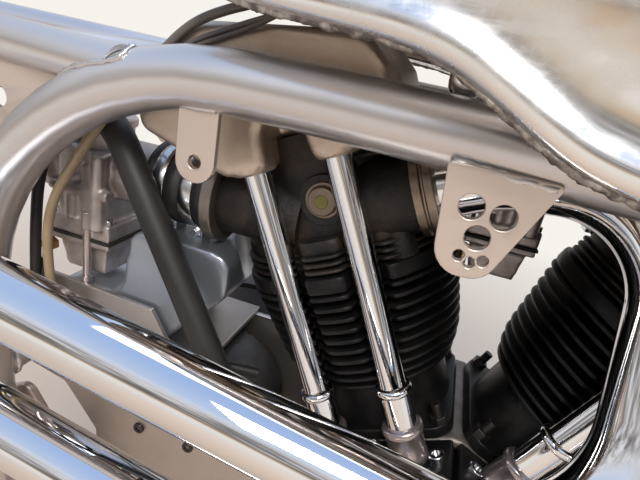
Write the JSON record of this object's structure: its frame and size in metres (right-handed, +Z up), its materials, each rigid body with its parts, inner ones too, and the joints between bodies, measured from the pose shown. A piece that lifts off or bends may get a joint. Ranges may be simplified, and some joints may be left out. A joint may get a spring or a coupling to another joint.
{
  "type": "vee-twin motorcycle engine and frame unit",
  "caption": "Air-cooled vee-twin engine with open belt drive, carburettors, exhausts, oil tank and alloy fuel tank in a twin-loop tubular motorcycle frame.",
  "frame": {"origin": "middle of the swingarm pivot's axis", "axes": "+X forward, +Y to the rider's left along the pivot, +Z up"},
  "size_m": [0.9576, 0.3402, 0.7109],
  "materials": {
    "frame_paint": "satin silver-grey paint over brazed and welded joints",
    "cast_alloy": "bead-blasted casting, satin",
    "black_iron": "satin black heat paint",
    "chrome": "polished",
    "plate_alloy": "brushed plate",
    "steel": "machined",
    "rubber": "matte black",
    "tank_alloy": "polished sheet with hand-welded seams",
    "oil_tank_paint": "silver-blue satin"
  },
  "bodies": {
    "frame_unit": {"steering_head": "frame_paint", "frame_loop_right": "frame_paint", "frame_loop_left": "frame_paint", "cross_tubes": "frame_paint", "pivot_plates": "frame_paint", "subframe_tubes": "frame_paint", "gussets": "frame_paint", "rail_tabs": "frame_paint", "drilled_plates": "frame_paint", "crankcase": "cast_alloy", "timing_cover": "cast_alloy", "tappet_block_rear": "black_iron", "tappet_block_front": "black_iron", "barrel_rear": "black_iron", "barrel_front": "black_iron", "head_rear": "black_iron", "head_front": "black_iron", "rocker_box_rear": "cast_alloy", "rocker_box_front": "cast_alloy", "pushrod_tubes_rear": "chrome", "pushrod_tubes_front": "chrome", "carburettor_rear": "cast_alloy", "carburettor_front": "cast_alloy", "inlet_sleeve_rear": "rubber", "inlet_sleeve_front": "rubber", "exhaust_pipe_rear": "chrome", "exhaust_pipe_front": "chrome", "exhaust_nuts": "chrome", "gearbox": "cast_alloy", "primary_belt": "rubber", "engine_plate_rear_right": "plate_alloy", "engine_plate_rear_left": "plate_alloy", "engine_plate_front_right": "plate_alloy", "engine_plate_front_left": "plate_alloy", "oil_tank": "oil_tank_paint", "oil_tank_tray": "plate_alloy", "fuel_tank": "tank_alloy", "tank_pads": "rubber", "breather_hose": "rubber"},
    "crankshaft": {"crank_pulley": "steel"},
    "clutch": {"clutch_drum": "steel"},
    "sprocket": {"output_sprocket": "steel"},
    "cap": {"filler_cap": "tank_alloy"}
  },
  "joints": [
    {"name": "crank_spin", "type": "hinge", "parent": "frame_unit", "child": "crankshaft", "pos_m": [0.3, 0.108, 0], "axis": [0, 1, 0], "continuous": true},
    {"name": "clutch_spin", "type": "hinge", "parent": "frame_unit", "child": "clutch", "pos_m": [0.095, 0.108, 0.035], "axis": [0, 1, 0], "continuous": true},
    {"name": "sprocket_spin", "type": "hinge", "parent": "frame_unit", "child": "sprocket", "pos_m": [0.095, 0.0735, 0.035], "axis": [0, 1, 0], "continuous": true},
    {"name": "filler_cap_hinge", "type": "hinge", "parent": "frame_unit", "child": "cap", "pos_m": [0.36, 0.044, 0.538], "axis": [-1, 0, 0], "range_deg": [0, 110]}
  ],
  "couplings": [
    {"joint": "clutch_spin", "follows": "crank_spin", "ratio": 0.56667}
  ]
}
